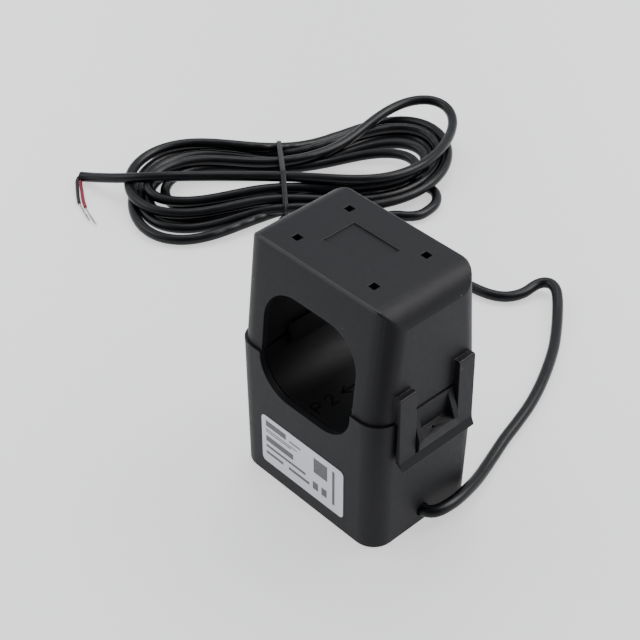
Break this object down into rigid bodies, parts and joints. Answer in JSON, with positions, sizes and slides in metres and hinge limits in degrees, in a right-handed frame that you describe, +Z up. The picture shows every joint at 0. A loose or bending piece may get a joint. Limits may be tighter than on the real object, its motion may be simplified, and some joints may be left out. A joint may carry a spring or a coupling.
{
  "type": "current transformer",
  "caption": "Split-core current transformer with a hinged upper half, snap latch, square conductor window and a two-core lead wound into a tied hank.",
  "frame": {"origin": "centre of the flat base of the lower housing", "axes": "+Z up towards the hinged half, +X towards the latch and the lead, Y along the conductor, with the label on -Y"},
  "size_m": [0.2148, 0.1932, 0.083],
  "materials": {
    "housing": "fine spark-eroded texture, black",
    "liner": "smooth moulded black plastic",
    "core_steel": "wound strip with ground faces",
    "bobbin_plastic": "natural nylon",
    "copper_wire": "enamelled copper",
    "tape": "polyester film tape",
    "spring_steel": "bright spring steel",
    "pin_steel": "drawn steel wire",
    "label_film": "matte silver-white film with plain printed fields",
    "cable_jacket": "soft satin PVC jacket",
    "black_pvc": "satin PVC core insulation",
    "red_pvc": "satin red PVC core insulation",
    "tinned_copper": "tinned strands"
  },
  "bodies": {
    "root": {"lower_shell": "housing", "lower_liner": "liner", "lower_core": "core_steel", "bobbin": "bobbin_plastic", "secondary_winding": "copper_wire", "winding_tape": "tape", "winding_leads": "copper_wire", "joint_sleeves": "black_pvc", "inner_black_wire": "black_pvc", "inner_red_wire": "red_pvc", "strain_relief": "liner", "hinge_pin": "pin_steel", "label": "label_film", "cable_lead": "cable_jacket", "cable_hank": "cable_jacket", "cable_tail": "cable_jacket", "cable_tie": "black_pvc", "black_wire": "black_pvc", "red_wire": "red_pvc", "black_strands": "tinned_copper", "red_strands": "tinned_copper"},
    "lid": {"upper_shell": "housing", "upper_liner": "liner", "upper_core": "core_steel", "core_spring": "spring_steel"}
  },
  "joints": [
    {"name": "lid_hinge", "type": "hinge", "parent": "root", "child": "lid", "pos_m": [-0.031, 0, 0.047], "axis": [0, -1, 0], "range_deg": [0, 100]}
  ]
}
